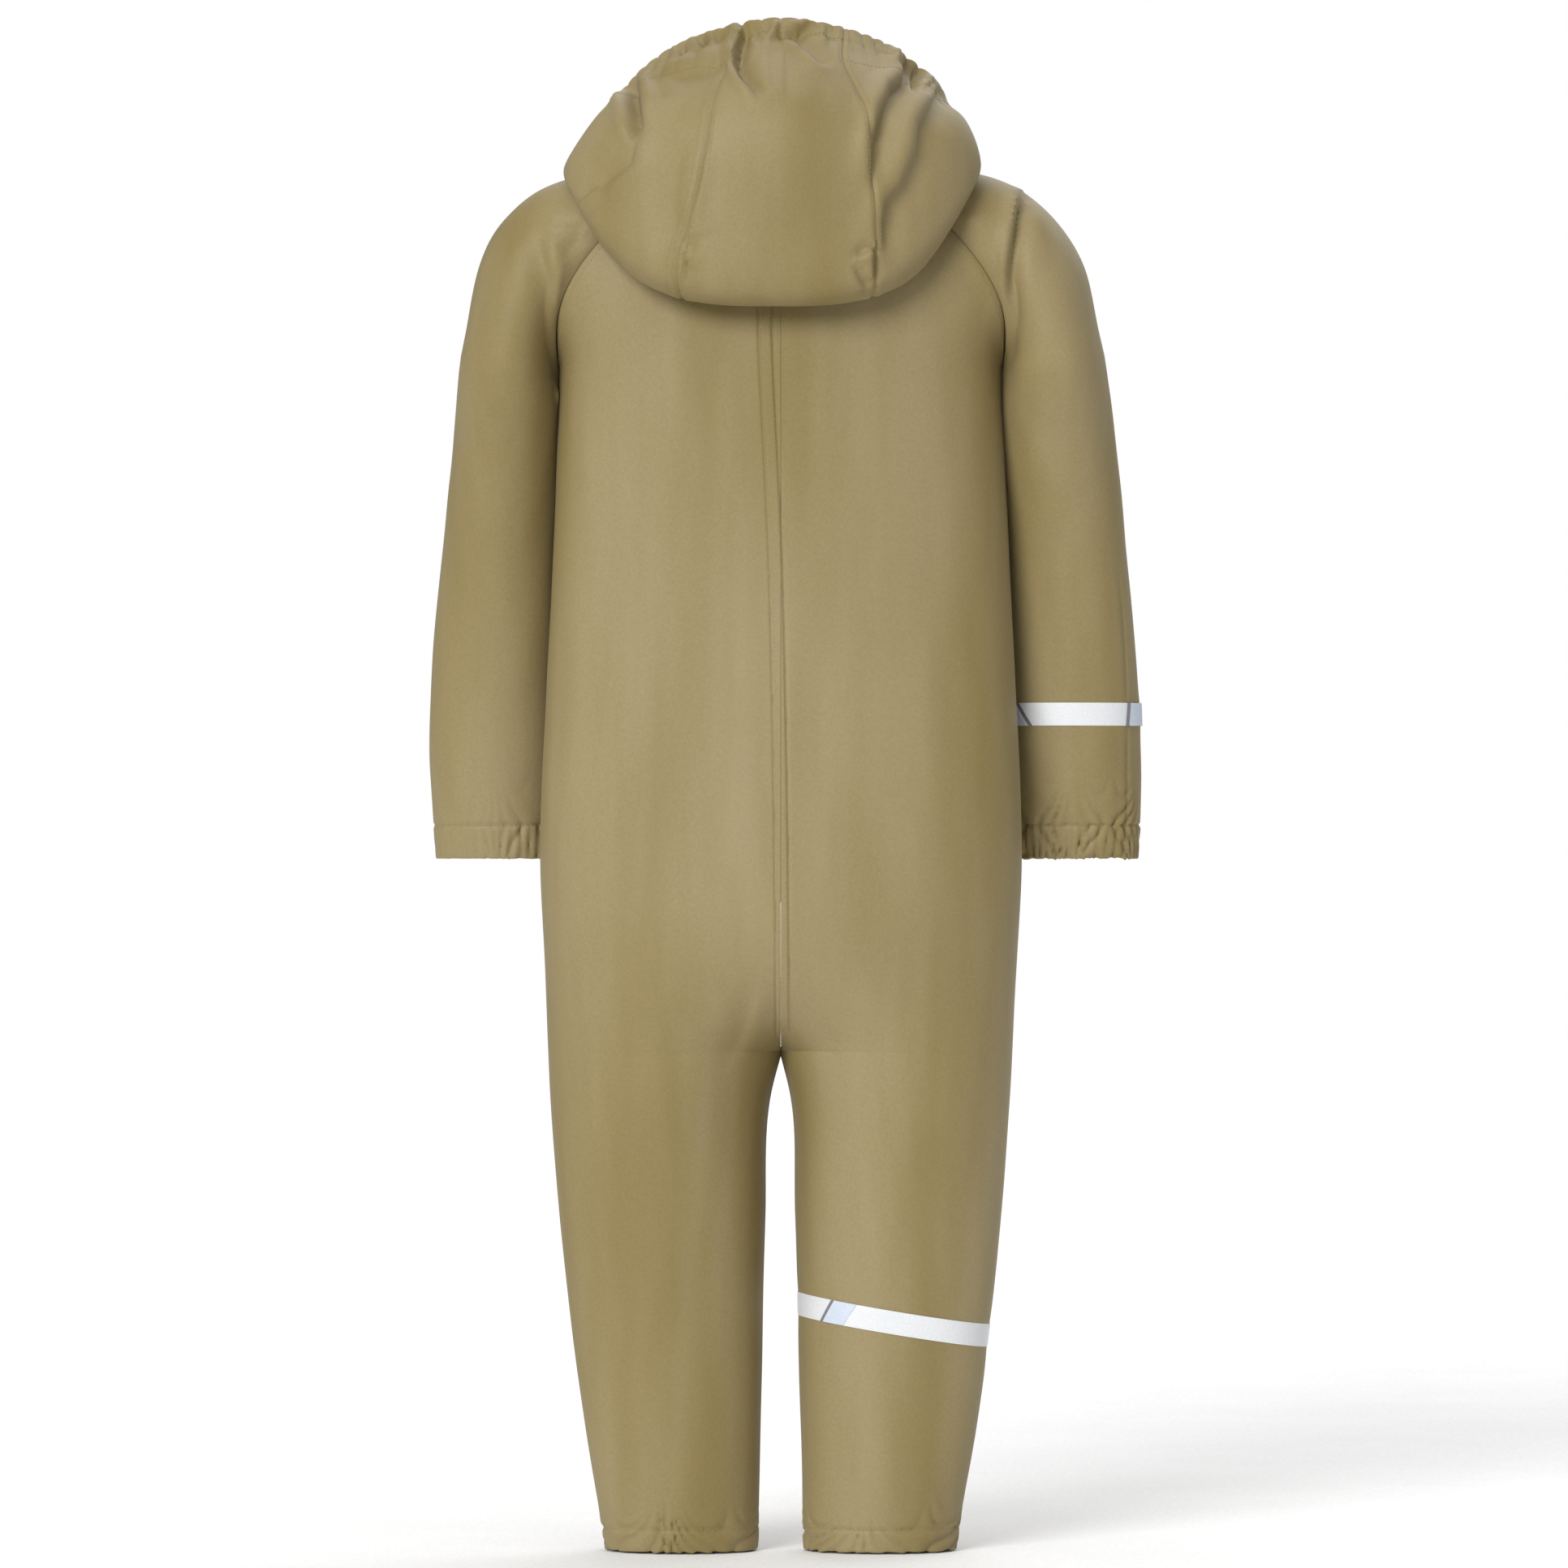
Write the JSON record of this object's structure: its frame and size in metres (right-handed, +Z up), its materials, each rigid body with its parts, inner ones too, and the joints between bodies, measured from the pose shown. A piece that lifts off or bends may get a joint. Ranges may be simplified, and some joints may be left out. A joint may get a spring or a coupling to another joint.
{
  "type": "hooded rain suit",
  "caption": "Child's one-piece hooded rain suit in coated fabric: raglan sleeves, zipped front, gathered cuffs and hems, reflective bands, detachable hood with an elastic rim.",
  "frame": {"origin": "the underside of the top of the hanging loop inside the back of the neck, where a hook would carry the suit", "axes": "+Z up, from the hems to the hood; the suit's front faces -Y; the wearer's left is +X"},
  "size_m": [0.4608, 0.2378, 0.999],
  "materials": {
    "coated_fabric": "satin",
    "lining_trim": "matte",
    "reflective_tape": "satin",
    "elastic": "matte",
    "zip_tape": "matte",
    "zip_teeth": "satin",
    "zip_metal": "satin",
    "snap": "satin",
    "label": "matte"
  },
  "bodies": {
    "torso": {"left_back_panel": "coated_fabric", "left_front_panel": "coated_fabric", "left_shoulder": "coated_fabric", "left_hip_fold": "coated_fabric", "right_back_panel": "coated_fabric", "right_front_panel": "coated_fabric", "right_shoulder": "coated_fabric", "right_hip_fold": "coated_fabric", "collar": "coated_fabric", "hanging_loop": "lining_trim", "neck_label": "label", "chin_guard": "lining_trim", "wind_flap": "coated_fabric", "zip_bottom_stop": "zip_metal", "zip_tape_left": "zip_tape", "zip_tape_right": "zip_tape", "zip_teeth_left": "zip_teeth", "zip_teeth_right": "zip_teeth", "zip_top_stop_left": "zip_metal", "zip_top_stop_right": "zip_metal", "collar_stud_1": "snap", "collar_stud_2": "snap", "collar_stud_3": "snap", "collar_stud_4": "snap", "collar_stud_5": "snap", "collar_stud_6": "snap"},
    "hood_base": {"hood_neck_band": "coated_fabric", "hood_snap_1": "snap", "hood_snap_2": "snap", "hood_snap_3": "snap", "hood_snap_4": "snap", "hood_snap_5": "snap", "hood_snap_6": "snap"},
    "hood": {"hood_centre_panel": "coated_fabric", "hood_left_panel": "coated_fabric", "hood_right_panel": "coated_fabric", "hood_brim_casing": "coated_fabric", "hood_elastic": "elastic"},
    "zip_slider": {"zip_slider": "zip_metal", "zip_slider_bridge": "zip_metal"},
    "zip_pull": {"zip_pull": "zip_metal"},
    "left_sleeve": {"left_sleeve": "coated_fabric", "left_cuff_casing": "coated_fabric", "left_cuff_elastic": "elastic"},
    "left_leg": {"left_leg_back": "coated_fabric", "left_leg_front": "coated_fabric", "left_hem_casing": "coated_fabric", "left_hem_elastic": "elastic"},
    "right_sleeve": {"right_sleeve": "coated_fabric", "right_cuff_casing": "coated_fabric", "right_cuff_elastic": "elastic", "right_sleeve_reflector": "reflective_tape"},
    "right_leg": {"right_leg_back": "coated_fabric", "right_leg_front": "coated_fabric", "right_hem_casing": "coated_fabric", "right_hem_elastic": "elastic", "right_leg_reflector": "reflective_tape"}
  },
  "joints": [
    {"name": "left_sleeve_lift", "type": "hinge", "parent": "torso", "child": "left_sleeve", "pos_m": [0.165, -0.043, -0.0798], "axis": [0, -1, 0], "range_deg": [0, 80], "deforming": ["left_shoulder"]},
    {"name": "right_sleeve_lift", "type": "hinge", "parent": "torso", "child": "right_sleeve", "pos_m": [-0.165, -0.043, -0.0798], "axis": [0, 1, 0], "range_deg": [0, 80], "deforming": ["right_shoulder"]},
    {"name": "left_leg_swing", "type": "hinge", "parent": "torso", "child": "left_leg", "pos_m": [0.078, -0.043, -0.5598], "axis": [-1, 0, 0], "range_deg": [-25, 60], "deforming": ["left_hip_fold"]},
    {"name": "right_leg_swing", "type": "hinge", "parent": "torso", "child": "right_leg", "pos_m": [-0.078, -0.043, -0.5598], "axis": [-1, 0, 0], "range_deg": [-25, 60], "deforming": ["right_hip_fold"]},
    {"name": "hood_unsnap", "type": "slide", "parent": "torso", "child": "hood_base", "axis": [0, 0, 1], "range_m": [0, 0.2]},
    {"name": "hood_raise", "type": "hinge", "parent": "hood_base", "child": "hood", "pos_m": [0, -0.113, -0.0448], "axis": [1, 0, 0], "range_deg": [0, 30]},
    {"name": "zip_slide", "type": "slide", "parent": "torso", "child": "zip_slider", "axis": [0, -0.0472, -0.9989], "range_m": [0, 0.445]},
    {"name": "zip_pull_swing", "type": "hinge", "parent": "zip_slider", "child": "zip_pull", "pos_m": [0, -0.11129, -0.05022], "axis": [-1, 0, 0], "range_deg": [0, 150]}
  ]
}
